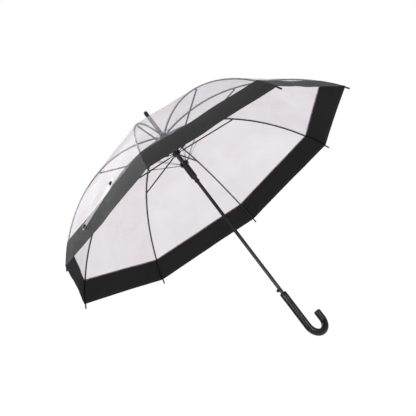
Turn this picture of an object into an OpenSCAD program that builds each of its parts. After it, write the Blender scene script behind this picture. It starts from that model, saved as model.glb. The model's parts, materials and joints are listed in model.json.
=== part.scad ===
// Clear dome stick umbrella with eight ribs and an automatic runner.
// The shaft is the Z axis, the bottom of the hook is at z = 0 and the ferrule points up.
// Rib 1 lies on +X, and the ribs are numbered clockwise seen from above.

/* [Overall] */
// Height of the crown of the canopy above the bottom of the hook
crown_h = 736; // [560:1:900]
// Length of the ferrule above the crown
ferrule_len = 90; // [60:1:130]

/* [Shaft] */
// Outer diameter of the shaft tube
shaft_d = 10; // [8:0.5:13]
// Wall of the shaft tube
shaft_wall = 0.7; // [0.5:0.1:1.5]
// Diameter of the ferrule
ferrule_d = 12; // [11.5:0.5:16]

/* [Ribs] */
// Radius at which a stretcher meets its rib
joint_r = 246; // [200:1:300]
// Drop of that joint below the rib hinges
joint_drop = 33; // [27:1:42]
// Slope of the rib at that joint, in degrees
joint_slope = 25; // [22:1:28]
// Bend radius of the outer rib
outer_bend = 548; // [450:1:660]
// Slope of the rib at its tip, in degrees
tip_slope = 60; // [55:1:66]
// Width of a rib channel
rib_w = 3; // [2.8:0.1:3.6]
// Height of a rib channel
rib_h = 2.8; // [2.2:0.1:3.4]
// Length of the cap on a rib's tip
cap_len = 13; // [8:1:20]
// Diameter of the cap on a rib's tip
cap_d = 4.6; // [3.8:0.1:5.6]

/* [Canopy] */
// Thickness of the canopy film
film_t = 0.3; // [0.2:0.05:1]
// Gap between the ribs' centre line and the film
film_gap = 2.5; // [2.3:0.1:3.5]
// Length of the crown piece of the canopy, along a rib
crown_piece = 36; // [25:1:50]

/* [Runner] */
// Distance along a stretcher from the upper runner to its link
link_at = 80; // [65:1:96]
// Drop of the lower runner's hinges below the upper runner's
runner_gap = 39.7; // [34:0.1:46]
// Diameter of the lower runner's barrel
barrel_d = 19; // [18:0.5:23]
// Length of the lower runner's barrel
barrel_len = 49; // [42:1:60]
// Length of the neck and end ring below the barrel
neck_len = 13.6; // [10:0.1:18]

/* [Handle] */
// Diameter of the handle
handle_d = 19.5; // [18:0.5:24]
// Height of the top of the handle above the bottom of the hook
handle_top = 153; // [125:1:180]
// Radius of the hook's centre line
hook_r = 32; // [26:1:40]
// Straight length of the hook's end
hook_end = 20; // [10:1:30]
// Direction in which the hook turns, in degrees
hook_turn = 190; // [0:1:359]
// Width of the release button
button_w = 5; // [4:0.5:6]
// Height of the release button
button_h = 8; // [6:0.5:10]
// How far the button stands out of the shaft
button_out = 8; // [6:0.5:10]

/* [Strap] */
// Width of the closing strap
strap_w = 20; // [14:1:26]
// Length of the closing strap
strap_len = 148; // [110:1:170]
// Place of the strap's lower snap along a rib, from the rib's hinge
strap_at = 514; // [500:1:530]
// How far the strap leans up from the rim, in degrees
strap_lean = 17; // [8:1:25]
// Diameter of the strap's snaps
snap_d = 11; // [9:0.5:13]

/* [Hidden] */
$fn = 48;
RIBS = 8;
STEP = 360 / RIBS;
FIT = 0.05;          // a pin in its bore, or a part pressed on the shaft
SLIDE = 0.2;         // a runner on the shaft
wire_r = 0.6;        // hinge wire
eye_r = 1.7;         // eye of a rib or stretcher
eye_t = 1.2;         // its thickness
pin_r = 0.8;         // rivet at a stretcher's joint
knuckle_pin_r = 0.55;
sheet_wall = 0.6;    // sheet of the rib and stretcher channels
joint_eye = 4;       // from the rib's centre line to the stretcher's rivet
hinge_drop = 8;      // from the crown to the rib hinges
stretcher_w = 4;
stretcher_h = 2.6;
link_wire_r = 0.45;
link_spread = 1.3;   // of the link's wires from its middle, at the runner
link_neck = 18;      // from the upper runner's hinge, where the wires begin to close in
seam_gap = 0.004;    // share of a gore's width left open at its edges

shaft_r = shaft_d / 2;
hinge_r = shaft_r + 4;
hub_r = hinge_r + 3.5;
link_hinge_r = hinge_r + 2;
link_hub_r = link_hinge_r + 2.5;

// Points of a rib, as [radius, height]
top_hinge = [hinge_r, crown_h - hinge_drop];
joint = [joint_r, top_hinge[1] - joint_drop];
knuckle = joint + joint_eye * [sin(joint_slope), cos(joint_slope)];
upper_hinge = [hinge_r, joint[1] - joint_drop];
link_hinge = [link_hinge_r, upper_hinge[1] - runner_gap];
stretcher_angle = atan2(joint_drop, joint_r - hinge_r);
stretcher_len = norm(joint - upper_hinge);
link_joint = upper_hinge + link_at * [cos(stretcher_angle), sin(stretcher_angle)];

chord = norm(knuckle - top_hinge);
chord_slope = atan2(top_hinge[1] - knuckle[1], knuckle[0] - top_hinge[0]);
start_slope = 2 * chord_slope - joint_slope;
inner_bend = chord / (2 * sin(joint_slope - chord_slope));
DEG = 180 / PI;
inner_len = inner_bend * (joint_slope - start_slope) / DEG;
outer_len = outer_bend * (tip_slope - joint_slope) / DEG;
rib_len = inner_len + outer_len;
film_end = rib_len - cap_len - 1;

// Slope of the rib at a distance from its hinge, and a point off its centre line there
function slope_at(s) = s < inner_len ? start_slope + s / inner_bend * DEG
                                     : joint_slope + (s - inner_len) / outer_bend * DEG;
function on_arc(p, from, bend, to) = p + bend * [sin(to) - sin(from), cos(to) - cos(from)];
function rib_point(s, off = 0) =
    let (a = slope_at(s))
    (s < inner_len ? on_arc(top_hinge, start_slope, inner_bend, a)
                   : on_arc(knuckle, joint_slope, outer_bend, a)) + off * [sin(a), cos(a)];
function turned(p, angle) = [p[0] * cos(angle), p[0] * sin(angle), p[1]];
// A point of the film: side is -1 or 1 at the middle of the panels beside rib k, and 0 on the rib
function film_point(k, s, side, off) =
    let (p = rib_point(s, off), here = -STEP * (k - 1), there = here + (side < 0 ? STEP : -STEP),
         share = abs(side) / 2)
    (1 - share) * turned(p, here) + share * turned(p, there);

// Closed shell between two grids of points with the same rows and columns
module shell(outer, inner) {
    rows = len(outer);
    cols = len(outer[0]);
    n = rows * cols;
    function at(i, j, layer) = layer * n + i * cols + j;
    top = [for (i = [0:rows - 2], j = [0:cols - 2])
        [at(i, j, 0), at(i, j + 1, 0), at(i + 1, j + 1, 0), at(i + 1, j, 0)]];
    bottom = [for (i = [0:rows - 2], j = [0:cols - 2])
        [at(i, j, 1), at(i + 1, j, 1), at(i + 1, j + 1, 1), at(i, j + 1, 1)]];
    sides = [for (i = [0:rows - 2], e = [0, 1]) let (j = e * (cols - 1), q =
        [at(i, j, 0), at(i + 1, j, 0), at(i + 1, j, 1), at(i, j, 1)]) e == 0 ? q : [q[3], q[2], q[1], q[0]]];
    ends = [for (j = [0:cols - 2], e = [0, 1]) let (i = e * (rows - 1), q =
        [at(i, j + 1, 0), at(i, j, 0), at(i, j, 1), at(i, j + 1, 1)]) e == 0 ? q : [q[3], q[2], q[1], q[0]]];
    polyhedron(concat([for (r = outer, p = r) p], [for (r = inner, p = r) p]),
               [for (q = concat(top, bottom, sides, ends), t = [[q[0], q[1], q[2]], [q[0], q[2], q[3]]]) t]);
}

module at_rib(k) rotate([0, 0, -STEP * (k - 1)]) children();
// Puts a 2D shape drawn as (radius, height) upright, with a thickness across
module upright(t) rotate([90, 0, 0]) translate([0, 0, -t / 2]) linear_extrude(t) children();
module across(p, r, t) translate([p[0], 0, p[1]]) rotate([90, 0, 0]) cylinder(r = r, h = t, center = true, $fn = 32);
// Sweeps a 2D profile (x outward, y across) along a rib arc between two slopes
module along_arc(p, slope, bend, from, to)
    translate([p[0] - bend * sin(slope), 0, p[1] - bend * cos(slope)])
    rotate([90, 0, 0]) rotate([0, 0, 90 - to])
    rotate_extrude(angle = to - from, $fn = 240) translate([bend, 0]) children();
// Sweeps a 2D profile (x up, y across) along a straight line between two points
module along_line(p, q)
    translate([p[0], 0, p[1]]) rotate([0, 90 - atan2(q[1] - p[1], q[0] - p[0]), 0])
    rotate([0, 0, 180]) linear_extrude(norm(q - p)) children();
module channel(w, h) difference() {
    square([h, w], center = true);
    translate([-sheet_wall, 0]) square([h, w - 2 * sheet_wall], center = true);
}
// Ring of wire that carries the eight hinges of a hub
module hinge_wire(r, rad) rotate_extrude($fn = 96) translate([r, 0]) circle(r = rad, $fn = 24);
// Slots of a hub, open outward and through its height
module slots(from, w, z0, z1)
    for (k = [0:RIBS - 1]) rotate([0, 0, STEP * k]) translate([from, -w / 2, z0]) cube([20, w, z1 - z0]);

module shaft_tube() color([0.05, 0.05, 0.06]) difference() {
    translate([0, 0, handle_top - 35]) cylinder(r = shaft_r, h = crown_h + 18 - handle_top + 35);
    translate([0, 0, handle_top - 36]) cylinder(r = shaft_r - shaft_wall, h = crown_h + 20 - handle_top + 36);
    rotate([0, 0, hook_turn + 180])
        translate([0, -button_w / 2 - FIT * 4, button_z - FIT * 4])
        cube([shaft_r * 2, button_w + FIT * 8, button_h + FIT * 8]);
}

ferrule_z = crown_h - hinge_drop + rib_h / 2 + 3.2;
module ferrule() color([0.04, 0.04, 0.04]) difference() {
    union() {
        translate([0, 0, ferrule_z]) cylinder(r = ferrule_d / 2 + 3, h = 3);
        translate([0, 0, ferrule_z + 3]) cylinder(r1 = ferrule_d / 2 + 3, r2 = ferrule_d / 2, h = 8);
        translate([0, 0, ferrule_z + 11]) cylinder(r = ferrule_d / 2, h = crown_h + ferrule_len - ferrule_z - 15);
        translate([0, 0, crown_h + ferrule_len - 4]) cylinder(r1 = ferrule_d / 2, r2 = ferrule_d / 2 - 1.5, h = 4);
    }
    translate([0, 0, ferrule_z - 1]) cylinder(r = shaft_r + FIT, h = crown_h + 19 - ferrule_z);
}

module top_notch() color([0.06, 0.06, 0.06]) difference() {
    translate([0, 0, top_hinge[1] - 5]) cylinder(r = hub_r, h = 7.6);
    translate([0, 0, top_hinge[1] - 6]) cylinder(r = shaft_r + FIT, h = 10);
    slots(shaft_r + 1.4, rib_w + 0.6, top_hinge[1] - 6, top_hinge[1] + 4);
    translate([0, 0, top_hinge[1]]) hinge_wire(hinge_r, wire_r + FIT);
}
module notch_wire() color([0.3, 0.3, 0.3]) translate([0, 0, top_hinge[1]]) hinge_wire(hinge_r, wire_r);

upper_tube_r = shaft_r + 1.3;
spring_r = upper_tube_r + 0.9;
spring_bore_r = spring_r + 0.75;
module upper_runner() color([0.05, 0.05, 0.05]) difference() {
    union() {
        translate([0, 0, upper_hinge[1] - 5]) cylinder(r = hub_r, h = 10);
        translate([0, 0, upper_hinge[1] - 32]) cylinder(r = upper_tube_r, h = 30);
    }
    translate([0, 0, upper_hinge[1] - 33]) cylinder(r = shaft_r + SLIDE, h = 40);
    slots(shaft_r + 1.8, 2 * (link_spread + link_wire_r) + 0.9, upper_hinge[1] - 6, upper_hinge[1] + 6);
    translate([0, 0, upper_hinge[1]]) hinge_wire(hinge_r, wire_r + FIT);
}
module upper_runner_wire() color([0.3, 0.3, 0.3])
    translate([0, 0, upper_hinge[1]]) hinge_wire(hinge_r, wire_r);

barrel_z = link_hinge[1] - 5 - barrel_len;
shoulder_z = link_hinge[1] - 27;
module lower_runner() color([0.05, 0.05, 0.05]) difference() {
    union() {
        translate([0, 0, link_hinge[1] - 5]) cylinder(r = link_hub_r, h = 10);
        translate([0, 0, barrel_z + 2]) cylinder(r = barrel_d / 2, h = barrel_len + 3);
        translate([0, 0, barrel_z]) cylinder(r1 = barrel_d / 2 - 2, r2 = barrel_d / 2, h = 2);
        translate([0, 0, barrel_z - neck_len]) cylinder(r = shaft_r + 1.2, h = neck_len + 1);
        translate([0, 0, barrel_z - neck_len]) cylinder(r = shaft_r + 2.3, h = 4.3);
    }
    translate([0, 0, barrel_z - neck_len - 1]) cylinder(r = shaft_r + SLIDE, h = 200);
    translate([0, 0, shoulder_z]) cylinder(r = spring_bore_r, h = 100);
    slots(spring_bore_r + 0.9, 2 * (link_spread + link_wire_r) + 0.9, link_hinge[1] - 3, link_hinge[1] + 6);
    translate([0, 0, link_hinge[1]]) hinge_wire(link_hinge_r, wire_r + FIT);
}
module lower_runner_wire() color([0.3, 0.3, 0.3])
    translate([0, 0, link_hinge[1]]) hinge_wire(link_hinge_r, wire_r);

spring_wire = 0.5;
spring_turns = 9;
spring_sides = 6;
spring_rings = 12;   // rings of points in one turn
module runner_spring() color([0.25, 0.25, 0.26]) {
    low = shoulder_z + spring_wire + 0.2;
    high = upper_hinge[1] - 5.2 - spring_wire;
    n = spring_turns * spring_rings;
    points = [for (i = [0:n], j = [0:spring_sides - 1])
        let (a = 360 * i / spring_rings, b = 360 * j / spring_sides, r = spring_r + spring_wire * cos(b))
        [r * cos(a), r * sin(a), low + (high - low) * i / n + spring_wire * sin(b)]];
    walls = [for (i = [0:n - 1], j = [0:spring_sides - 1])
        let (m = (j + 1) % spring_sides, a = i * spring_sides, b = a + spring_sides)
        each [[a + j, a + m, b + m], [a + j, b + m, b + j]]];
    first = [for (j = [spring_sides - 1:-1:0]) j];
    last = [for (j = [0:spring_sides - 1]) n * spring_sides + j];
    polyhedron(points, concat([for (w = walls) [w[2], w[1], w[0]]], [[for (j = first) last[j]], first]));
}

handle_r = handle_d / 2;
hook_z = hook_r + handle_r;
module handle() color([0.07, 0.07, 0.07]) rotate([0, 0, hook_turn]) difference() {
    union() {
        translate([0, 0, hook_z]) cylinder(r = handle_r, h = handle_top - 1.5 - hook_z);
        translate([0, 0, handle_top - 1.5]) cylinder(r1 = handle_r, r2 = handle_r - 1.5, h = 1.5);
        translate([hook_r, 0, hook_z]) rotate([90, 0, 0]) rotate([0, 0, 180])
            rotate_extrude(angle = 180, $fn = 96) translate([hook_r, 0]) circle(r = handle_r);
        translate([2 * hook_r, 0, hook_z]) cylinder(r = handle_r, h = hook_end);
        translate([2 * hook_r, 0, hook_z + hook_end]) cylinder(r1 = handle_r, r2 = handle_r * 0.72, h = 4);
    }
    translate([0, 0, handle_top - 36]) cylinder(r = shaft_r + FIT, h = 40);
    translate([0, 0, handle_top - 14]) difference() {
        cylinder(r = handle_r + 2, h = 3);
        translate([0, 0, -1]) cylinder(r = handle_r - 0.8, h = 5);
    }
}
module handle_ring() color([0.02, 0.02, 0.02]) translate([0, 0, handle_top - 13.95]) difference() {
    cylinder(r = handle_r + 0.3, h = 2.9);
    translate([0, 0, -1]) cylinder(r = handle_r - 0.75, h = 5);
}

button_z = handle_top + 7;
module release_button() color([0.03, 0.03, 0.03]) rotate([0, 0, hook_turn + 180]) {
    translate([1, -button_w / 2, button_z]) cube([shaft_r + button_out - 2, button_w, button_h]);
    translate([shaft_r + button_out - 1, 0, button_z + 1]) intersection() {
        translate([-2, -button_w / 2, -1]) cube([4, button_w, button_h]);
        translate([-3, 0, button_h / 2 - 1]) rotate([90, 0, 0]) cylinder(r = 4, h = button_w, center = true);
    }
}
module button_spring() color([0.6, 0.6, 0.6]) rotate([0, 0, hook_turn + 180]) {
    leaf = shaft_r - shaft_wall - 0.8;
    translate([-leaf, -1.5, button_z - 14]) cube([0.5, 3, 26]);
    translate([-leaf, -1.5, button_z + 12]) cube([leaf + 0.6, 3, 0.5]);
    translate([0.1, -1.5, button_z + 1]) cube([0.5, 3, 11.5]);
}

module rib_inner(k) color([0.05, 0.05, 0.06]) at_rib(k) {
    hub_turn = 6 / inner_bend * DEG;
    end_turn = 4.5 / inner_bend * DEG;
    difference() {
        union() {
            across(top_hinge, eye_r, eye_t);
            along_arc(top_hinge, start_slope, inner_bend, start_slope, start_slope + hub_turn + 0.5)
                square([2, eye_t], center = true);
            along_arc(top_hinge, start_slope, inner_bend, start_slope + hub_turn, joint_slope - end_turn)
                channel(rib_w, rib_h);
            along_arc(top_hinge, start_slope, inner_bend, joint_slope - end_turn - 0.5, joint_slope)
                square([2.2, eye_t], center = true);
            across(knuckle, 1.3, eye_t);
            across(joint, eye_r, eye_t);
            upright(eye_t) polygon([joint + [1.2, 0.8], rib_point(inner_len - 1.5, -0.3),
                rib_point(inner_len - 11, -0.3), joint + [-1.3, 0.6]]);
        }
        across(top_hinge, wire_r + FIT, 4);
        across(knuckle, knuckle_pin_r + FIT, 4);
        across(joint, pin_r + FIT, 4);
    }
}

module rib_outer(k) color([0.05, 0.05, 0.06]) at_rib(k) {
    web_turn = 4 / outer_bend * DEG;
    end_slope = tip_slope - cap_len / outer_bend * DEG;
    tip = rib_point(rib_len);
    cap_from = rib_point(rib_len - cap_len + 0.1);
    difference() {
        along_arc(knuckle, joint_slope, outer_bend, joint_slope, end_slope) channel(rib_w, rib_h);
        along_arc(knuckle, joint_slope, outer_bend, joint_slope - 0.1, joint_slope + web_turn)
            square([rib_h + 1, rib_w - 2 * sheet_wall], center = true);
    }
    for (side = [-1, 1]) translate([0, side * (rib_w - sheet_wall) / 2, 0]) across(knuckle, rib_h / 2 + 0.2, sheet_wall - 0.1);
    across(knuckle, knuckle_pin_r, rib_w - 0.2);
    translate([cap_from[0], 0, cap_from[1]]) rotate([0, 90 + tip_slope - 0.5, 0]) {
        rotate_extrude() intersection() {
            union() {
                square([cap_d, norm(tip - cap_from) - cap_d / 2]);
                translate([0, norm(tip - cap_from) - cap_d / 2]) circle(r = cap_d / 2);
            }
            square([cap_d / 2, norm(tip - cap_from) - 0.05]);
        }
    }
}

function on_stretcher(s) = upper_hinge + s * [cos(stretcher_angle), sin(stretcher_angle)];
module stretcher(k) color([0.05, 0.05, 0.06]) at_rib(k) {
    neck = link_neck - 1;
    difference() {
        union() {
            across(upper_hinge, eye_r, eye_t);
            along_line(upper_hinge, on_stretcher(neck + 3)) square([2.2, eye_t], center = true);
            difference() {
                along_line(on_stretcher(neck), on_stretcher(stretcher_len)) channel(stretcher_w, stretcher_h);
                along_line(on_stretcher(stretcher_len - 6), on_stretcher(stretcher_len + 1))
                    square([stretcher_h + 1, stretcher_w - 2 * sheet_wall], center = true);
            }
            for (side = [-1, 1]) translate([0, side * (stretcher_w - sheet_wall) / 2, 0])
                across(joint, eye_r, sheet_wall);
            across(joint, pin_r, stretcher_w);
            across(link_joint, pin_r, stretcher_w + 2.6);
        }
        across(upper_hinge, wire_r + FIT, 4);
    }
}

// Two thin wires from the stretcher's rivet to an open hook on the lower runner's wire
// Two bent flat wires that straddle the stretcher, and close in to pass through the upper runner's slot when folded
module runner_link(k) color([0.25, 0.25, 0.26]) at_rib(k) {
    ring_y = stretcher_w / 2 + 0.3 + 0.45;
    reach = norm(link_joint - link_hinge);
    along = (link_joint - link_hinge) / reach;
    bends = [[1, ring_y], [link_at - link_neck, ring_y], [link_at - 5.5, link_spread + 0.15], [reach - 1.5, link_spread]];
    for (side = [-1, 1]) translate([0, side * ring_y, 0]) difference() {
        across(link_joint, pin_r + 0.9, 0.9);
        across(link_joint, pin_r + FIT, 10);
    }
    difference() {
        for (side = [-1, 1])
            translate([link_joint[0], 0, link_joint[1]]) rotate([0, -atan2(-along[1], -along[0]), 0])
            translate([0, 0, -link_wire_r]) linear_extrude(2 * link_wire_r)
            polygon([for (b = bends) [b[0], side * (b[1] + 0.4)], for (i = [3:-1:0]) [bends[i][0], side * (bends[i][1] - 0.4)]]);
        across(link_joint, pin_r + FIT, 10);
    }
    difference() {
        across(link_hinge + 1.5 * along, 1.3, 2 * link_spread);
        across(link_hinge, wire_r + 0.3, 4);
        translate([link_hinge[0] - 4, -3, link_hinge[1] - 4]) cube([4, 6, 4]);
    }
}

gore_rows = 12;
gore_edge = 1 - seam_gap;
function gore_grid(k, off) = [for (i = [0:gore_rows])
    let (s = crown_piece + (film_end - crown_piece) * i / gore_rows)
    [for (side = [-gore_edge, 0, gore_edge]) film_point(k, s, side, off)]];
module canopy_gore(k) color([0.85, 0.85, 0.9, 0.4])
    shell(gore_grid(k, film_gap + film_t), gore_grid(k, film_gap));
// One eight-sided ring of film round the crown
crown_rows = 4;
function crown_ring(i, off) =
    let (s = crown_piece * i / crown_rows - 0.3, p = rib_point(s, off),
         q = i == 0 ? [shaft_r + 1.5, ferrule_z - 0.2 - (film_gap + film_t - off)] : p)
    [for (k = [1:RIBS]) turned(q, -STEP * (k - 1))];
module canopy_crown() {
    function at(i, j, layer) = (layer * (crown_rows + 1) + i) * RIBS + j % RIBS;
    quads = [for (j = [0:RIBS - 1]) each concat(
        [for (i = [0:crown_rows - 1]) each [
            [at(i, j, 0), at(i, j + 1, 0), at(i + 1, j + 1, 0), at(i + 1, j, 0)],
            [at(i, j, 1), at(i + 1, j, 1), at(i + 1, j + 1, 1), at(i, j + 1, 1)]]],
        [[at(0, j + 1, 0), at(0, j, 0), at(0, j, 1), at(0, j + 1, 1)],
         [at(crown_rows, j, 0), at(crown_rows, j + 1, 0), at(crown_rows, j + 1, 1), at(crown_rows, j, 1)]])];
    color([0.85, 0.85, 0.9, 0.4])
    polyhedron([for (off = [film_gap + film_t, film_gap], i = [0:crown_rows], p = crown_ring(i, off)) p],
               [for (q = quads, t = [[q[0], q[1], q[2]], [q[0], q[2], q[3]]]) t]);
}

// The strap lies just above the border on the panel between ribs 1 and 8
strap_side = -0.52;
strap_off = film_gap + film_t + 0.4;
strap_rows = 6;
function strap_s(t) = strap_at - t * sin(strap_lean);
function strap_across(t) = strap_side - t * cos(strap_lean) / (rib_point(strap_s(t))[0] * sin(STEP / 2));
function strap_grid(off) = [for (i = [0:strap_rows])
    let (t = strap_len * i / strap_rows - 8)
    [for (edge = [-strap_w / 2, strap_w / 2]) film_point(1, strap_s(t) + edge, strap_across(t), off)]];
module closing_strap() color([0.8, 0.8, 0.85, 0.5])
    shell(strap_grid(strap_off + 0.6), strap_grid(strap_off));
module strap_snaps() color([0.03, 0.03, 0.03])
    for (t = [0, strap_len - 21]) {
        p = film_point(1, strap_s(t), strap_across(t), strap_off + 0.9);
        u = film_point(1, strap_s(t) + 1, strap_across(t), strap_off + 0.9) - p;
        v = film_point(1, strap_s(t), strap_across(t) + 0.01, strap_off + 0.9) - p;
        n = cross(v, u) * (cross(v, u)[2] < 0 ? -1 : 1);
        translate(p) rotate([0, acos(n[2] / norm(n)), atan2(n[1], n[0])]) {
            cylinder(r = snap_d / 2, h = 1.2);
            cylinder(r1 = snap_d / 2 - 1, r2 = snap_d / 2 - 2.5, h = 2.2);
        }
    }

shaft_tube();
ferrule();
top_notch();
notch_wire();
upper_runner();
upper_runner_wire();
lower_runner();
lower_runner_wire();
runner_spring();
handle();
handle_ring();
release_button();
button_spring();
canopy_crown();
closing_strap();
strap_snaps();
for (k = [1:RIBS]) {
    rib_inner(k);
    rib_outer(k);
    stretcher(k);
    runner_link(k);
    canopy_gore(k);
}
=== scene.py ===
"""Clear dome stick umbrella: film, border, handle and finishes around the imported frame. Metres."""
import json
import math
import random

import bmesh
import bpy
import numpy as np
from mathutils import Matrix, Vector


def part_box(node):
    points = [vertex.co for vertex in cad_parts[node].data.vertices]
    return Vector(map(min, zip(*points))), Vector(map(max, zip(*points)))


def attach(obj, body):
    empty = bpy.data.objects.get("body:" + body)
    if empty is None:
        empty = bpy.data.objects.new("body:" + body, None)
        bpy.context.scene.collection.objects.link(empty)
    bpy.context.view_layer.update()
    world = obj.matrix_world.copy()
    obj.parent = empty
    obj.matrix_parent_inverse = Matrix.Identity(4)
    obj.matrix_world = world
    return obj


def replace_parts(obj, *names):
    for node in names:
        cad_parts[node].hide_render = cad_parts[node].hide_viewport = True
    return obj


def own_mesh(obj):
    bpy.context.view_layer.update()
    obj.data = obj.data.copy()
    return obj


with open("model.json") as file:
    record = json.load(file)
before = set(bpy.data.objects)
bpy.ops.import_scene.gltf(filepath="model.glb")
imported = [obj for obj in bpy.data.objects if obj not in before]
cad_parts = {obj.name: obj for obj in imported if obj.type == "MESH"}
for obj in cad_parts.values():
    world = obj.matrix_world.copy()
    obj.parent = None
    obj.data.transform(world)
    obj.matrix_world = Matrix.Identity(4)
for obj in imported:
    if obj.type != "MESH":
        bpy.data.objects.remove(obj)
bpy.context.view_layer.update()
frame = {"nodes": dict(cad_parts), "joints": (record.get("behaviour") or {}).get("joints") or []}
NODES = frame["nodes"]
JOINTS = {j["name"]: j for j in frame["joints"]}

RIBS = 8
STEP = 2 * math.pi / RIBS


# ---------------------------------------------------------------- sizes read from the frame
def pivot(joint):
    """A hinge of rib 1 as (radius, height)."""
    x, y, z = JOINTS[joint]["pos_m"]
    return np.array([math.hypot(x, y), z])


TOP_HINGE = pivot("canopy_fold")
KNUCKLE = pivot("rib_1_straighten")
RIVET = pivot("stretcher_1_fold")
JOINT_SLOPE = math.atan2(KNUCKLE[0] - RIVET[0], KNUCKLE[1] - RIVET[1])
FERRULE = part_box("ferrule")
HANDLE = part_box("handle")
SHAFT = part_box("shaft_tube")
SHAFT_R = SHAFT[1].x

CAP_LENGTH = 0.013    # of a rib's tip cap
FILM_GAP = 0.0025     # from a rib's centre line to the film
BAND_WIDTH = 0.072    # of the opaque border, along a rib
SEAM_WIDTH = 0.007    # of the weld over a rib
CROWN_END = 0.019     # rib length under the crown piece of film


# ---------------------------------------------------------------- the ribs' line
CHORD = float(np.linalg.norm(KNUCKLE - TOP_HINGE))
CHORD_SLOPE = math.atan2(TOP_HINGE[1] - KNUCKLE[1], KNUCKLE[0] - TOP_HINGE[0])
START_SLOPE = 2 * CHORD_SLOPE - JOINT_SLOPE
INNER_BEND = CHORD / (2 * math.sin(JOINT_SLOPE - CHORD_SLOPE))
INNER_LENGTH = INNER_BEND * (JOINT_SLOPE - START_SLOPE)
OUTER_BEND = 0.548
TIP_SLOPE = math.radians(60)
RIB_LENGTH = INNER_LENGTH + OUTER_BEND * (TIP_SLOPE - JOINT_SLOPE)
FILM_END = RIB_LENGTH - CAP_LENGTH - 0.001
BAND_START = FILM_END - BAND_WIDTH


def rib_line(s):
    """Point of a rib's centre line and its slope, at a distance s from the hinge."""
    if s < INNER_LENGTH:
        start, slope, bend, turn = TOP_HINGE, START_SLOPE, INNER_BEND, START_SLOPE + s / INNER_BEND
    else:
        start, slope, bend = KNUCKLE, JOINT_SLOPE, OUTER_BEND
        turn = JOINT_SLOPE + (s - INNER_LENGTH) / OUTER_BEND
    p = start + bend * np.array([math.sin(turn) - math.sin(slope), math.cos(turn) - math.cos(slope)])
    return p, turn


def azimuth(k):
    """Direction of rib k, numbered clockwise from above."""
    return -STEP * (k - 1)


def around(radius, height, angle):
    return np.array([radius * math.cos(angle), radius * math.sin(angle), height])


def off_rib(k, s, off):
    """Point over rib k, at a distance off its centre line towards the outside."""
    p, slope = rib_line(s)
    return around(p[0] + off * math.sin(slope), p[1] + off * math.cos(slope), azimuth(k))


def ripple(panel, s, u):
    """How far the film of a panel stands off its flat, u from 0 to 1 across it."""
    rng = random.Random(panel * 7 + 3)
    pull = math.sin(math.pi * u)
    reach = s / FILM_END
    out = -0.0016 * pull * reach ** 2
    for n in range(4):
        phase, lean = rng.uniform(0, 6.28), rng.uniform(-2.5, 2.5)
        out += 0.0007 * pull * reach * math.sin((n + 2) * math.pi * u + phase + lean * reach * 3)
    near_rim = max(0.0, (s - BAND_START) / BAND_WIDTH)
    out += 0.0004 * pull * near_rim * math.sin(9 * math.pi * u + panel)
    return out


def film_point(panel, s, u, off):
    """Point of the panel between rib `panel` (u 0) and the next one (u 1)."""
    a, b = off_rib(panel, s, off), off_rib(panel % RIBS + 1, s, off)
    middle = azimuth(panel) - STEP / 2
    slope = rib_line(s)[1]
    out = np.array([math.sin(slope) * math.cos(middle), math.sin(slope) * math.sin(middle), math.cos(slope)])
    scallop = 0.0015 * (s / FILM_END) ** 6 * math.sin(math.pi * u)
    p = (1 - u) * a + u * b + ripple(panel, s, u) * out
    along = off_rib(panel, s - 0.001, off) - a + off_rib(panel % RIBS + 1, s - 0.001, off) - b
    return p + along / np.linalg.norm(along) * scallop


# ---------------------------------------------------------------- camera, floor and light
RIGHT = Vector((-0.7490, 0.3238, -0.5781))
UP = Vector((-0.3553, 0.5402, 0.7629))
FORWARD = Vector((-0.5593, -0.7768, 0.2896))


def place_camera():
    data = bpy.data.cameras.new("camera")
    data.lens, data.sensor_width = 70.8, 36
    camera = bpy.data.objects.new("camera", data)
    bpy.context.collection.objects.link(camera)
    turn = Matrix((RIGHT, UP, -FORWARD)).transposed().to_4x4()
    camera.matrix_world = Matrix.Translation((1.3113, 1.7831, -0.1968)) @ turn
    bpy.context.scene.camera = camera


def soft_box(name, direction, distance, width, height, power, long_axis=None, aim=(0, 0, 0.5), fills=True):
    """A rectangular studio light, seen from the umbrella in a direction; one that doesn't fill only makes glints."""
    data = bpy.data.lights.new(name, "AREA")
    data.shape, data.size, data.size_y, data.energy = "RECTANGLE", width, height, power
    light = bpy.data.objects.new(name, data)
    bpy.context.collection.objects.link(light)
    back = Vector(direction).normalized()
    y = Vector(long_axis) if long_axis else Vector((0, 0, 1))
    y = (y - y.dot(back) * back).normalized()
    turn = Matrix((y.cross(back), y, back)).transposed().to_4x4()
    light.matrix_world = Matrix.Translation(Vector(aim) + distance * back) @ turn
    light.visible_diffuse = fills


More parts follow.
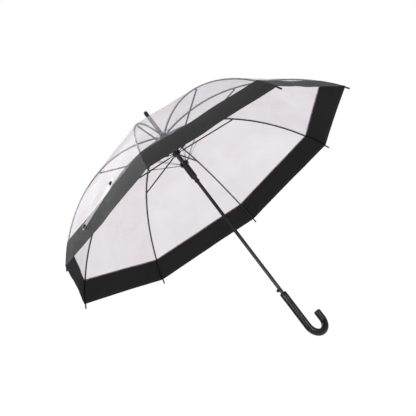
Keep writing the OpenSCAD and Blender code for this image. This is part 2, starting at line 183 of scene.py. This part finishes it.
def light_studio():
    scene = bpy.context.scene
    scene.view_settings.view_transform = "Standard"
    world = bpy.data.worlds.new("studio")
    scene.world = world
    world.use_nodes = True
    nodes, links = world.node_tree.nodes, world.node_tree.links
    nodes.clear()
    seen, lit = nodes.new("ShaderNodeBackground"), nodes.new("ShaderNodeBackground")
    mix = nodes.new("ShaderNodeMixShader")
    seen.inputs["Color"].default_value = (1, 1, 1, 1)
    lit.inputs["Color"].default_value = (0.96, 0.96, 1, 1)
    lit.inputs["Strength"].default_value = 0.5
    path, out = nodes.new("ShaderNodeLightPath"), nodes.new("ShaderNodeOutputWorld")
    links.new(path.outputs["Is Camera Ray"], mix.inputs[0])
    links.new(lit.outputs[0], mix.inputs[1])
    links.new(seen.outputs[0], mix.inputs[2])
    links.new(mix.outputs[0], out.inputs[0])
    side = RIGHT * 0.74 + UP * 0.67
    grip = UP * -0.72 + RIGHT * 0.69
    soft_box("handle_strip", -FORWARD * 0.72 + side * 0.70, 1.3, 0.14, 0.9, 9, grip, (0, 0, 0.10), False)
    soft_box("runner_strip", -FORWARD * 0.86 - side * 0.50, 0.9, 0.10, 0.26, 2.5, grip, (0, 0, 0.62), False)
    soft_box("top_light", (0.2, -0.5, 1), 2.6, 2.4, 2.4, 54)
    soft_box("front_light", -FORWARD + UP * 0.2 - RIGHT * 0.5, 3.0, 1.6, 1.6, 14)


def plane_floor():
    bpy.ops.object.select_all(action="DESELECT")
    bpy.ops.mesh.primitive_plane_add(size=3.2, location=(0, 0, -0.45))
    floor = bpy.context.object
    floor.name = "floor"
    paint = bpy.data.materials.new("floor_paper")
    paint.use_nodes = True
    shader = paint.node_tree.nodes["Principled BSDF"]
    shader.inputs["Base Color"].default_value = (0.93, 0.93, 0.93, 1)
    shader.inputs["Roughness"].default_value = 0.9
    shader.inputs["Emission Color"].default_value = (1, 1, 1, 1)
    shader.inputs["Emission Strength"].default_value = 0.3
    shader.inputs["Specular IOR Level"].default_value = 0.05
    floor.data.materials.append(paint)


# ---------------------------------------------------------------- finishes
def group(name, inputs, outputs):
    """An empty shader node group with its sockets; returns its nodes, links, input node and output node."""
    tree = bpy.data.node_groups.new(name, "ShaderNodeTree")
    for socket, kind, value in inputs:
        made = tree.interface.new_socket(socket, in_out="INPUT", socket_type=kind)
        made.default_value = value
    for socket, kind in outputs:
        tree.interface.new_socket(socket, in_out="OUTPUT", socket_type=kind)
    return tree, tree.nodes, tree.links, tree.nodes.new("NodeGroupInput"), tree.nodes.new("NodeGroupOutput")


def add(nodes, kind, **settings):
    node = nodes.new(kind)
    for key, value in settings.items():
        if key.startswith("in_"):
            node.inputs[int(key[3:])].default_value = value
        else:
            setattr(node, key, value)
    return node


def blend_colours(nodes, links, factor, a, b):
    mix = add(nodes, "ShaderNodeMix", data_type="RGBA")
    links.new(factor, mix.inputs[0])
    for socket, source in ((mix.inputs[6], a), (mix.inputs[7], b)):
        if hasattr(source, "links"):
            links.new(source, socket)
        else:
            socket.default_value = source
    return mix.outputs[2]


def spread(nodes, links, factor, low, high):
    """A value from low to high as factor goes from 0 to 1."""
    span = add(nodes, "ShaderNodeMapRange")
    links.new(factor, span.inputs[0])
    for socket, source in ((span.inputs[3], low), (span.inputs[4], high)):
        if hasattr(source, "links"):
            links.new(source, socket)
        else:
            socket.default_value = source
    return span.outputs[0]


def drawn_paint_group():
    """Paint on drawn wire and tube: lighter streaks along the length in random patches, patchy roughness and streak
    relief.
    """
    tree, nodes, links, given, out = group(
        "drawn_paint",
        [("Dark", "NodeSocketColor", (0.01, 0.01, 0.01, 1)), ("Light", "NodeSocketColor", (0.05, 0.05, 0.05, 1)),
         ("Smooth", "NodeSocketFloat", 0.2), ("Dull", "NodeSocketFloat", 0.4),
         ("Streak size", "NodeSocketFloat", 700.0)],
        [("Colour", "NodeSocketColor"), ("Roughness", "NodeSocketFloat"), ("Height", "NodeSocketFloat")])
    place = add(nodes, "ShaderNodeTexCoord")
    stretch = add(nodes, "ShaderNodeMapping")
    stretch.inputs["Scale"].default_value = (1, 1, 0.06)
    links.new(place.outputs["Object"], stretch.inputs[0])
    streak = add(nodes, "ShaderNodeTexNoise")
    streak.inputs["Detail"].default_value = 3
    links.new(stretch.outputs[0], streak.inputs["Vector"])
    links.new(given.outputs["Streak size"], streak.inputs["Scale"])
    patch = add(nodes, "ShaderNodeTexNoise")
    patch.inputs["Scale"].default_value, patch.inputs["Detail"].default_value = 38, 5
    links.new(place.outputs["Object"], patch.inputs["Vector"])
    worn = add(nodes, "ShaderNodeMath", operation="MULTIPLY")
    links.new(streak.outputs[0], worn.inputs[0])
    links.new(patch.outputs[0], worn.inputs[1])
    share = spread(nodes, links, worn.outputs[0], -0.4, 2.2)
    links.new(blend_colours(nodes, links, share, given.outputs["Dark"], given.outputs["Light"]), out.inputs["Colour"])
    rough = spread(nodes, links, patch.outputs[0], given.outputs["Smooth"], given.outputs["Dull"])
    links.new(rough, out.inputs["Roughness"])
    links.new(streak.outputs[0], out.inputs["Height"])
    return tree


def moulded_group():
    """Moulded plastic: fine spark grain and faint scuffs."""
    tree, nodes, links, given, out = group(
        "moulded_plastic",
        [("Dark", "NodeSocketColor", (0.01, 0.01, 0.01, 1)), ("Scuffed", "NodeSocketColor", (0.04, 0.04, 0.04, 1)),
         ("Smooth", "NodeSocketFloat", 0.3), ("Dull", "NodeSocketFloat", 0.45),
         ("Grain size", "NodeSocketFloat", 2600.0)],
        [("Colour", "NodeSocketColor"), ("Roughness", "NodeSocketFloat"), ("Height", "NodeSocketFloat")])
    place = add(nodes, "ShaderNodeTexCoord")
    grain = add(nodes, "ShaderNodeTexNoise")
    grain.inputs["Detail"].default_value = 2
    links.new(place.outputs["Object"], grain.inputs["Vector"])
    links.new(given.outputs["Grain size"], grain.inputs["Scale"])
    scuff = add(nodes, "ShaderNodeTexNoise")
    scuff.inputs["Scale"].default_value, scuff.inputs["Detail"].default_value = 90, 8
    scuff.inputs["Distortion"].default_value = 1.4
    links.new(place.outputs["Object"], scuff.inputs["Vector"])
    mark = add(nodes, "ShaderNodeMapRange", in_1=0.58, in_2=0.78)
    links.new(scuff.outputs[0], mark.inputs[0])
    scuffed = blend_colours(nodes, links, mark.outputs[0], given.outputs["Dark"], given.outputs["Scuffed"])
    links.new(scuffed, out.inputs["Colour"])
    rough = spread(nodes, links, scuff.outputs[0], given.outputs["Smooth"], given.outputs["Dull"])
    links.new(rough, out.inputs["Roughness"])
    links.new(grain.outputs[0], out.inputs["Height"])
    return tree


def woven_group():
    """Woven band in the piece's own UV, in metres: plain weave, slubs, an edge seam and a hem seam of stitches."""
    tree, nodes, links, given, out = group(
        "woven_band",
        [("Thread", "NodeSocketColor", (0.03, 0.03, 0.03, 1)), ("Gap", "NodeSocketColor", (0.008, 0.008, 0.008, 1)),
         ("Threads per metre", "NodeSocketFloat", 2200.0)],
        [("Colour", "NodeSocketColor"), ("Roughness", "NodeSocketFloat"), ("Height", "NodeSocketFloat")])
    uv = add(nodes, "ShaderNodeUVMap", uv_map="UVMap")
    size = add(nodes, "ShaderNodeVectorMath", operation="SCALE")
    links.new(uv.outputs[0], size.inputs[0])
    links.new(given.outputs["Threads per metre"], size.inputs["Scale"])
    threads = []
    for direction in "XY":
        wave = add(nodes, "ShaderNodeTexWave", bands_direction=direction)
        wave.inputs["Scale"].default_value, wave.inputs["Distortion"].default_value = 1, 0.3
        links.new(size.outputs[0], wave.inputs["Vector"])
        threads.append(wave.outputs[1])
    weave = add(nodes, "ShaderNodeMath", operation="MAXIMUM")
    links.new(threads[0], weave.inputs[0])
    links.new(threads[1], weave.inputs[1])
    slub = add(nodes, "ShaderNodeTexNoise")
    slub.inputs["Scale"].default_value, slub.inputs["Detail"].default_value = 55, 6
    links.new(uv.outputs[0], slub.inputs["Vector"])
    toned = add(nodes, "ShaderNodeMath", operation="MULTIPLY")
    links.new(weave.outputs[0], toned.inputs[0])
    links.new(slub.outputs[0], toned.inputs[1])
    parts = add(nodes, "ShaderNodeSeparateXYZ")
    links.new(uv.outputs[0], parts.inputs[0])
    seams = None
    for line in (BAND_START + 0.0035, FILM_END - 0.006):
        away = add(nodes, "ShaderNodeMath", operation="SUBTRACT", in_1=line)
        links.new(parts.outputs[1], away.inputs[0])
        size_of = add(nodes, "ShaderNodeMath", operation="ABSOLUTE")
        links.new(away.outputs[0], size_of.inputs[0])
        on = add(nodes, "ShaderNodeMath", operation="LESS_THAN", in_1=0.0005)
        links.new(size_of.outputs[0], on.inputs[0])
        if seams is None:
            seams = on.outputs[0]
        else:
            both = add(nodes, "ShaderNodeMath", operation="ADD")
            links.new(seams, both.inputs[0])
            links.new(on.outputs[0], both.inputs[1])
            seams = both.outputs[0]
    pitch = add(nodes, "ShaderNodeMath", operation="MULTIPLY", in_1=330.0)
    links.new(parts.outputs[0], pitch.inputs[0])
    part_of = add(nodes, "ShaderNodeMath", operation="FRACT")
    links.new(pitch.outputs[0], part_of.inputs[0])
    dash = add(nodes, "ShaderNodeMath", operation="LESS_THAN", in_1=0.72)
    links.new(part_of.outputs[0], dash.inputs[0])
    stitch = add(nodes, "ShaderNodeMath", operation="MULTIPLY")
    links.new(seams, stitch.inputs[0])
    links.new(dash.outputs[0], stitch.inputs[1])
    cloth = blend_colours(nodes, links, toned.outputs[0], given.outputs["Gap"], given.outputs["Thread"])
    links.new(blend_colours(nodes, links, stitch.outputs[0], cloth, (0.05, 0.05, 0.055, 1)), out.inputs["Colour"])
    links.new(spread(nodes, links, slub.outputs[0], 0.5, 0.78), out.inputs["Roughness"])
    high = add(nodes, "ShaderNodeMath", operation="MULTIPLY_ADD", in_1=2.0)
    links.new(stitch.outputs[0], high.inputs[0])
    links.new(weave.outputs[0], high.inputs[2])
    links.new(high.outputs[0], out.inputs["Height"])
    return tree


def haze_group():
    """Soft clear film: milky patches and creases."""
    tree, nodes, links, given, out = group(
        "film_haze",
        [("Clear", "NodeSocketColor", (0.85, 0.85, 0.9, 1)), ("Milky", "NodeSocketColor", (0.95, 0.95, 0.97, 1))],
        [("Colour", "NodeSocketColor"), ("Haze", "NodeSocketFloat"), ("Roughness", "NodeSocketFloat"),
         ("Height", "NodeSocketFloat")])
    place = add(nodes, "ShaderNodeTexCoord")
    cloud = add(nodes, "ShaderNodeTexNoise")
    cloud.inputs["Scale"].default_value, cloud.inputs["Detail"].default_value = 9, 4
    links.new(place.outputs["Object"], cloud.inputs["Vector"])
    crease = add(nodes, "ShaderNodeTexNoise")
    crease.inputs["Scale"].default_value, crease.inputs["Detail"].default_value = 26, 3
    crease.inputs["Distortion"].default_value = 1.2
    links.new(place.outputs["Object"], crease.inputs["Vector"])
    clouded = blend_colours(nodes, links, cloud.outputs[0], given.outputs["Clear"], given.outputs["Milky"])
    links.new(clouded, out.inputs["Colour"])
    links.new(spread(nodes, links, cloud.outputs[0], 0.6, 1.4), out.inputs["Haze"])
    links.new(spread(nodes, links, crease.outputs[0], 0.12, 0.32), out.inputs["Roughness"])
    links.new(crease.outputs[0], out.inputs["Height"])
    return tree


def finish_from(name, tree, values, bump, constants):
    """A material whose colour, roughness and bump come from one of the groups."""
    material = bpy.data.materials.new(name)
    material.use_nodes = True
    nodes, links = material.node_tree.nodes, material.node_tree.links
    shader = nodes["Principled BSDF"]
    effect = add(nodes, "ShaderNodeGroup", node_tree=tree)
    for socket, value in values.items():
        effect.inputs[socket].default_value = value
    links.new(effect.outputs["Colour"], shader.inputs["Base Color"])
    links.new(effect.outputs["Roughness"], shader.inputs["Roughness"])
    relief = add(nodes, "ShaderNodeBump")
    relief.inputs["Strength"].default_value, relief.inputs["Distance"].default_value = bump
    links.new(effect.outputs["Height"], relief.inputs["Height"])
    links.new(relief.outputs[0], shader.inputs["Normal"])
    for socket, value in constants.items():
        shader.inputs[socket].default_value = value
    return material


def film_finish(name, tree, clear, milky, inside, face_on, edge_on, bump):
    """Clear film: the share that shows is low face on and rises edge on; the inner side is painted darker and pinkish
    as shade, and shows more.
    """
    material = finish_from(name, tree, {"Clear": clear, "Milky": milky}, bump, {"Specular IOR Level": 0.5})
    nodes, links = material.node_tree.nodes, material.node_tree.links
    shader = nodes["Principled BSDF"]
    effect = next(n for n in nodes if n.type == "GROUP")
    side = add(nodes, "ShaderNodeNewGeometry")
    # painted shade: the inner side's colour is multiplied by a darker pinkish tint, and more of it shows
    inner_shade_colour, inner_shade_share = inside
    toned = add(nodes, "ShaderNodeMix", data_type="RGBA", blend_type="MULTIPLY")
    toned.inputs[7].default_value = inner_shade_colour
    links.new(side.outputs["Backfacing"], toned.inputs[0])
    links.new(effect.outputs["Colour"], toned.inputs[6])
    links.new(toned.outputs[2], shader.inputs["Base Color"])
    tilt = add(nodes, "ShaderNodeLayerWeight")
    tilt.inputs["Blend"].default_value = 0.38
    share = spread(nodes, links, tilt.outputs["Facing"], face_on, edge_on)
    inner = add(nodes, "ShaderNodeMath", operation="MULTIPLY", in_1=inner_shade_share)
    links.new(side.outputs["Backfacing"], inner.inputs[0])
    both = add(nodes, "ShaderNodeMath", operation="ADD")
    links.new(share, both.inputs[0])
    links.new(inner.outputs[0], both.inputs[1])
    hazy = add(nodes, "ShaderNodeMath", operation="MULTIPLY", use_clamp=True)
    links.new(both.outputs[0], hazy.inputs[0])
    links.new(effect.outputs["Haze"], hazy.inputs[1])
    links.new(hazy.outputs[0], shader.inputs["Alpha"])
    return material


def grey(value, blue=1.0):
    return (value, value, value * blue, 1)


def mix_finishes():
    paint, moulded, woven, haze = drawn_paint_group(), moulded_group(), woven_group(), haze_group()
    made = {}
    for name, tree, values, bump, constants in (
        ("shaft_enamel", paint, {"Dark": (0.010, 0.0085, 0.007, 1), "Light": (0.036, 0.030, 0.024, 1),
          "Smooth": 0.2, "Dull": 0.34},
         (0.008, 0.0002), {"Coat Weight": 0.2, "Coat Roughness": 0.25, "Specular IOR Level": 0.3}),
        ("rib_enamel", paint, {"Dark": grey(0.004, 1.2), "Light": grey(0.014, 1.2),
          "Smooth": 0.2, "Dull": 0.34, "Streak size": 900.0},
         (0.015, 0.0002), {"Coat Weight": 0.2, "Coat Roughness": 0.15, "Specular IOR Level": 0.35}),
        ("link_wire", paint, {"Dark": grey(0.10), "Light": grey(0.22),
          "Smooth": 0.25, "Dull": 0.4, "Streak size": 1200.0},
         (0.06, 0.0003), {"Metallic": 0.85}),
        ("spring_steel", paint, {"Dark": grey(0.06), "Light": grey(0.16),
          "Smooth": 0.22, "Dull": 0.38, "Streak size": 1500.0},
         (0.05, 0.0002), {"Metallic": 0.9}),
        ("black_plastic", moulded, {"Dark": grey(0.009), "Scuffed": grey(0.022), "Smooth": 0.24, "Dull": 0.4},
         (0.10, 0.0002), {}),
        ("runner_plastic", moulded, {"Dark": grey(0.004), "Scuffed": grey(0.008),
          "Smooth": 0.12, "Dull": 0.2, "Grain size": 1500.0},
         (0.03, 0.0002), {"Coat Weight": 0.3, "Coat Roughness": 0.08, "Specular IOR Level": 0.35}),
        ("handle_plastic", moulded, {"Dark": grey(0.004), "Scuffed": grey(0.009),
          "Smooth": 0.22, "Dull": 0.31, "Grain size": 3000.0},
         (0.002, 0.0002), {"Specular IOR Level": 0.3}),
        ("snap_plastic", moulded, {"Dark": grey(0.003), "Scuffed": grey(0.007), "Smooth": 0.3, "Dull": 0.45},
         (0.08, 0.0002), {}),
        ("border_outside", woven, {"Thread": grey(0.030, 1.0), "Gap": grey(0.012, 1.0)},
         (0.35, 0.0003), {"Sheen Weight": 0.10, "Sheen Roughness": 0.5, "Specular IOR Level": 0.18}),
        # Painted shade: the border's inner face is a darker, slightly pinkish copy of the outer woven finish.
        ("border_inside", woven, {"Thread": (0.020, 0.0185, 0.019, 1), "Gap": grey(0.008)},
         (0.3, 0.0003), {"Specular IOR Level": 0.12}),
    ):
        made[name] = finish_from(name, tree, values, bump, constants)
    # Each film's third argument is its inner side's painted shade: a darker pinkish tint and an extra share that
    # shows.
    made["clear_film"] = film_finish("clear_film", haze, (0.90, 0.90, 0.94, 1), (0.96, 0.96, 0.99, 1),
                                     ((0.58, 0.43, 0.50, 1), 0.25), 0.10, 0.30, (0.008, 0.001))
    made["welded_film"] = film_finish("welded_film", haze, (0.62, 0.62, 0.70, 1), (0.75, 0.75, 0.82, 1),
                                      ((0.5, 0.42, 0.46, 1), 0.15), 0.16, 0.36, (0.01, 0.001))
    made["strap_film"] = film_finish("strap_film", haze, (0.96, 0.96, 0.98, 1), (1.0, 1.0, 1.0, 1),
                                     ((0.8, 0.75, 0.78, 1), 0.1), 0.20, 0.50, (0.04, 0.001))
    return made


NODE_FINISH = {
    "shaft_tube": "shaft_enamel", "top_notch": "black_plastic", "notch_wire": "spring_steel",
    "upper_runner": "runner_plastic", "upper_runner_wire": "spring_steel", "lower_runner": "runner_plastic",
    "lower_runner_wire": "spring_steel", "runner_spring": "spring_steel", "handle_ring": "black_plastic",
    "release_button": "black_plastic", "button_spring": "spring_steel",
    "rib_inner": "rib_enamel", "rib_outer": "rib_enamel", "stretcher": "rib_enamel", "runner_link": "link_wire",
}


def finish_nodes(finishes):
    """Gives the frame's own nodes that stay in view their finishes."""
    for name, node in NODES.items():
        kind = name.rsplit("_", 1)[0] if name[-1].isdigit() else name
        if kind in NODE_FINISH:
            for slot in node.material_slots:
                slot.material = finishes[NODE_FINISH[kind]]


# ---------------------------------------------------------------- film, made as sheets
def sheet_piece(name, rows, columns, point, across, finish, body):
    """A sheet over a grid: point(row share, column share), with its UV in metres."""
    grid = [[Vector(point(i / rows, j / columns)) for j in range(columns + 1)] for i in range(rows + 1)]
    mesh = bpy.data.meshes.new(name)
    wide = columns + 1
    faces = [(i * wide + j, (i + 1) * wide + j, (i + 1) * wide + j + 1, i * wide + j + 1)
             for i in range(rows) for j in range(columns)]
    mesh.from_pydata([p for row in grid for p in row], [], faces)
    mesh.uv_layers.new(name="UVMap")
    for loop in mesh.loops:
        i, j = divmod(loop.vertex_index, columns + 1)
        mesh.uv_layers[0].data[loop.index].uv = across(i / rows, j / columns)
    mesh.update()
    outward = sum(p.normal.dot(Vector((p.center.x, p.center.y, 0.6 * abs(p.center.z)))) for p in mesh.polygons)
    if outward < 0:
        mesh.flip_normals()
    mesh.shade_smooth()
    piece = bpy.data.objects.new(name, mesh)
    bpy.context.collection.objects.link(piece)
    mesh.materials.append(finish)
    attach(piece, body)
    return piece


def thicken(piece, thickness, inside=None):
    """Gives a sheet its thickness, with the second finish on its inner side."""
    bpy.ops.object.select_all(action="DESELECT")
    piece.select_set(True)
    bpy.context.view_layer.objects.active = piece
    solid = piece.modifiers.new("thickness", "SOLIDIFY")
    solid.thickness, solid.offset = thickness, -1
    if inside:
        piece.data.materials.append(inside)
        solid.material_offset = 1
    bpy.ops.object.modifier_apply(modifier=solid.name)
    bpy.ops.object.shade_smooth_by_angle(angle=math.radians(50))


def gather(piece, k, panel, start, end):
    """Gives the piece beside rib k its own mesh; the directions along rib k and across the panel worked out here are
    not used.
    """
    middle = (start + end) / 2
    rib = off_rib(k, middle, FILM_GAP)
    along = off_rib(k, middle + 0.002, FILM_GAP) - off_rib(k, middle - 0.002, FILM_GAP)
    along /= np.linalg.norm(along)
    aside = film_point(panel, middle, 0.5, FILM_GAP) - rib
    aside -= aside.dot(along) * along
    aside /= np.linalg.norm(aside)
    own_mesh(piece)


def half_panel(k, side, part, finishes):
    """Film of one half panel beside rib k: side 1 is towards the next rib, -1 towards the last one."""
    start, end, rows, columns, body, keep = {
        "inner": (0.013, INNER_LENGTH, 22, 10, f"rib_inner_{k}", 0.17),
        "outer": (INNER_LENGTH, BAND_START + 0.003, 24, 14, f"rib_outer_{k}", 0.10),
        "border": (BAND_START, FILM_END, 12, 22, f"rib_outer_{k}", 0.075),
    }[part]
    panel = k if side == 1 else (k - 2) % RIBS + 1
    off = FILM_GAP + (0.0006 if part == "border" else 0)

    def place(i, j):
        s, u = start + (end - start) * i, 0.5 * j if side == 1 else 1 - 0.5 * j
        hem = 0.0004 if part == "border" and s > FILM_END - 0.0085 else 0
        return film_point(panel, s, u, off + hem)

    def flat(i, j):
        s = start + (end - start) * i
        return side * rib_line(s)[0][0] * math.sin(STEP / 2) * j, s

    name = f"{'border' if part == 'border' else 'film_' + part}_{k}_{'a' if side == 1 else 'b'}"
    finish = finishes["border_outside" if part == "border" else "clear_film"]
    piece = sheet_piece(name, rows, columns, place, flat, finish, body)
    if part == "border":
        # the inner face gets the darker copy of the border's finish, painted as shade
        thicken(piece, 0.0005, finishes["border_inside"])
    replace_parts(piece, f"canopy_gore_{k}")
    gather(piece, k, panel, start, end)


def weld(k, part, finishes):
    """The welded seam that lies on a rib."""
    start, end = {"inner": (0.012, INNER_LENGTH), "outer": (INNER_LENGTH, BAND_START + 0.002)}[part]
    body = f"rib_{part}_{k}"
    last = (k - 2) % RIBS + 1

    def place(i, j):
        s = start + (end - start) * i
        width = 2 * rib_line(s)[0][0] * math.sin(STEP / 2)
        u = min(0.4, SEAM_WIDTH / 2 / width) * abs(2 * j - 1)
        return film_point(k if j >= 0.5 else last, s, u if j >= 0.5 else 1 - u, FILM_GAP + 0.0003)

    piece = sheet_piece(f"weld_{part}_{k}", 30, 4, place, lambda i, j: (j * SEAM_WIDTH, start + (end - start) * i),
                        finishes["welded_film"], body)


def crown_film(finishes):
    """The round piece of film under the ferrule's flange."""
    hole, seat = SHAFT_R + 0.0012, FERRULE[0].z - 0.0003

    def place(i, j):
        turn = (j * RIBS) % RIBS
        panel, u = int(turn) % RIBS + 1, turn - int(turn)
        if i == 0:
            return around(hole, seat, -turn * STEP)
        s = 0.010 + (CROWN_END - 0.010) * (i - 0.1) / 0.9
        return film_point(panel, s, u, FILM_GAP + 0.0007)

    piece = sheet_piece("crown_film", 10, 48, place, lambda i, j: (j * 0.2, i * CROWN_END),
                        finishes["clear_film"], "root")
    bpy.ops.object.select_all(action="DESELECT")
    piece.select_set(True)
    bpy.context.view_layer.objects.active = piece
    bpy.ops.object.mode_set(mode="EDIT")
    bpy.ops.mesh.select_all(action="SELECT")
    bpy.ops.mesh.remove_doubles(threshold=1e-6)
    bpy.ops.object.mode_set(mode="OBJECT")
    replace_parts(piece, "canopy_crown")


# ---------------------------------------------------------------- closing strap and snaps
STRAP_AT, STRAP_SIDE, STRAP_LEAN, STRAP_LENGTH, STRAP_WIDTH = 0.514, 0.74, math.radians(17), 0.148, 0.020
STRAP_END = 0.008     # of strap past the lower snap
UPPER_SNAP = STRAP_LENGTH - 0.021


def strap_point(t, edge, off):
    """Point of the strap's line at a distance t up from its lower snap, and to one side of it."""
    s = STRAP_AT - t * math.sin(STRAP_LEAN)
    u = STRAP_SIDE - t * math.cos(STRAP_LEAN) / (2 * rib_line(s)[0][0] * math.sin(STEP / 2))
    return film_point(8, s + edge, u, off)


def gather_strap(piece):
    start, end = (INNER_LENGTH, BAND_START) if "upper" in piece.name else (BAND_START, FILM_END)
    gather(piece, 1, 8, start, end)


def closing_strap(finishes):
    rise = FILM_GAP + 0.0022

    def place(i, j):
        t = STRAP_LENGTH * i - STRAP_END
        end = min(t + STRAP_END, STRAP_LENGTH - STRAP_END - t)
        half = STRAP_WIDTH / 2
        if end < half:
            half = math.sqrt(max(0.0, half ** 2 - (half - end) ** 2)) * 0.6 + half * 0.4
        return strap_point(t, (2 * j - 1) * half, rise + 0.0006 * math.sin(7 * i + 1))

    piece = sheet_piece("closing_strap_film", 40, 6, place, lambda i, j: (j * STRAP_WIDTH, i * STRAP_LENGTH),
                        finishes["strap_film"], "rib_outer_1")
    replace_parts(piece, "closing_strap")
    gather_strap(piece)


def edit(piece, mode="FACE"):
    bpy.ops.object.select_all(action="DESELECT")
    piece.select_set(True)
    bpy.context.view_layer.objects.active = piece
    bpy.ops.object.mode_set(mode="EDIT")
    bpy.ops.mesh.select_mode(type=mode)
    bpy.ops.mesh.select_all(action="DESELECT")


def pick(piece, test, kind="faces"):
    """Selects the faces, edges or vertices whose middle passes a test, in edit mode."""
    bpy.ops.mesh.select_all(action="DESELECT")
    shape = bmesh.from_edit_mesh(piece.data)
    for item in getattr(shape, kind):
        points = [item.co] if kind == "verts" else [v.co for v in item.verts]
        middle = sum(points, Vector()) / len(points)
        if test(middle):
            item.select_set(True)
    shape.select_flush_mode()
    bmesh.update_edit_mesh(piece.data)


def push(distance, scale=1.0, centre=None):
    """Extrudes the selection along Z and scales its end about a point."""
    bpy.ops.mesh.extrude_region_move(TRANSFORM_OT_translate={"value": (0, 0, distance)})
    if scale != 1.0:
        about = {"center_override": centre} if centre else {}
        bpy.ops.transform.resize(value=(scale, scale, 1), **about)


def close_edit(piece, finish, body, smooth=35):
    bpy.ops.mesh.select_all(action="SELECT")
    bpy.ops.mesh.remove_doubles(threshold=1e-6)
    bpy.ops.mesh.normals_make_consistent(inside=False)
    bpy.ops.object.mode_set(mode="OBJECT")
    bpy.ops.object.shade_smooth_by_angle(angle=math.radians(smooth))
    piece.data.materials.clear()
    piece.data.materials.append(finish)
    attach(piece, body)
    return piece


def snap(name, t, finishes):
    """A snap cap: a rim, a dished ring and a raised dome."""
    seat = Vector(strap_point(t, 0, FILM_GAP + 0.0030))
    aside = Vector(strap_point(t, 0.002, FILM_GAP + 0.0030)) - seat
    along = Vector(strap_point(t + 0.002, 0, FILM_GAP + 0.0030)) - seat
    up = aside.cross(along).normalized()
    if up.z < 0:
        up = -up
    bpy.ops.object.select_all(action="DESELECT")
    bpy.ops.mesh.primitive_circle_add(vertices=36, radius=0.0060, fill_type="NGON", location=(0, 0, 0))
    cap = bpy.context.object
    cap.name = name
    edit(cap)
    bpy.ops.mesh.select_all(action="SELECT")
    push(0.0012)
    push(0.0005, 0.93)
    bpy.ops.mesh.inset(thickness=0.0009)
    push(-0.0004, 0.97)
    bpy.ops.mesh.inset(thickness=0.0006)
    push(0.0022, 0.94)
    push(0.0006, 0.75)
    bpy.ops.mesh.inset(thickness=0.0007)
    close_edit(cap, finishes["snap_plastic"], "rib_outer_1")
    cap.data.transform(Matrix.Translation(seat) @ up.to_track_quat("Z", "Y").to_matrix().to_4x4())
    gather_strap(cap)
    return cap


# ---------------------------------------------------------------- handle and ferrule
HOOK_DIRECTION = math.radians(190)
GRIP_R = 0.00975
HOOK_R = 0.032
HOOK_Z = HOOK_R + GRIP_R
HOOK_END = 0.020


def hooked_handle(finishes):
    top = HANDLE[1].z
    bpy.ops.object.select_all(action="DESELECT")
    bpy.ops.mesh.primitive_circle_add(vertices=48, radius=GRIP_R, location=(0, 0, top - 0.0015))
    grip = bpy.context.object
    grip.name = "hooked_grip"
    grip.data.transform(grip.matrix_world)
    grip.matrix_world = Matrix.Identity(4)
    edit(grip, "EDGE")
    bpy.ops.mesh.select_all(action="SELECT")
    for _ in range(8):
        push(-(top - 0.0015 - HOOK_Z) / 8)
    out = Vector((math.cos(HOOK_DIRECTION), math.sin(HOOK_DIRECTION), 0))
    turn = Vector((0, 0, 1)).cross(out)
    bpy.ops.mesh.spin(steps=36, angle=math.pi, center=tuple(out * HOOK_R + Vector((0, 0, HOOK_Z))), axis=tuple(turn))
    for _ in range(3):
        push(HOOK_END / 3)
    for rise, scale in ((0.0012, 0.985), (0.0011, 0.95), (0.0009, 0.90), (0.0006, 0.84), (0.0002, 0.78)):
        push(rise, scale)
    bpy.ops.mesh.edge_face_add()
    bpy.ops.mesh.inset(thickness=0.002)
    pick(grip, lambda p: p.z > top - 0.0016, "edges")
    for rise, share in ((0.0006, 0.975), (0.0005, 0.95), (0.0003, 0.92)):
        push(rise, share, (0, 0, top))
    push(0.0001, (SHAFT_R + 0.0001) / (GRIP_R * 0.975 * 0.95 * 0.92), (0, 0, top))
    push(-0.012)
    return close_edit(grip, finishes["handle_plastic"], "root", 40)


def turned_ferrule(finishes):
    low, high = FERRULE[0].z, FERRULE[1].z
    flange, pin = FERRULE[1].x, 0.006
    bpy.ops.object.select_all(action="DESELECT")
    bpy.ops.mesh.primitive_circle_add(vertices=48, radius=SHAFT_R + 0.0001, location=(0, 0, low))
    tip = bpy.context.object
    tip.name = "ferrule_turned"
    tip.data.transform(tip.matrix_world)
    tip.matrix_world = Matrix.Identity(4)
    edit(tip, "EDGE")
    bpy.ops.mesh.select_all(action="SELECT")
    radius, height = SHAFT_R + 0.0001, low
    for r, z in (
        (flange - 0.0005, low), (flange, low + 0.0005), (flange, low + 0.0024), (flange - 0.0006, low + 0.003),
        (flange - 0.0012, low + 0.0045), (flange - 0.0022, low + 0.0075), (pin + 0.0001, low + 0.0108),
        (pin, low + 0.012), (pin, high - 0.0215), (pin - 0.0006, high - 0.0212), (pin - 0.0006, high - 0.0202),
        (pin, high - 0.0199), (pin, high - 0.004), (pin - 0.0003, high - 0.0022), (pin - 0.0009, high - 0.0008),
        (pin - 0.0018, high),
    ):
        push(z - height, r / radius, (0, 0, z))
        radius, height = r, z
    bpy.ops.mesh.edge_face_add()
    bpy.ops.mesh.inset(thickness=0.0015)
    return close_edit(tip, finishes["black_plastic"], "root", 30)


# ---------------------------------------------------------------- the whole umbrella
place_camera()
light_studio()
plane_floor()
FINISHES = mix_finishes()
finish_nodes(FINISHES)
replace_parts(hooked_handle(FINISHES), "handle")
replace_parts(turned_ferrule(FINISHES), "ferrule")
for rib in range(1, RIBS + 1):
    for part in ("inner", "outer", "border"):
        for side in (1, -1):
            half_panel(rib, side, part, FINISHES)
    for part in ("inner", "outer"):
        weld(rib, part, FINISHES)
crown_film(FINISHES)
closing_strap(FINISHES)
for snap_name, place in (("snap_lower", 0.0), ("snap_upper", UPPER_SNAP)):
    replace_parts(snap(snap_name, place, FINISHES), "strap_snaps")
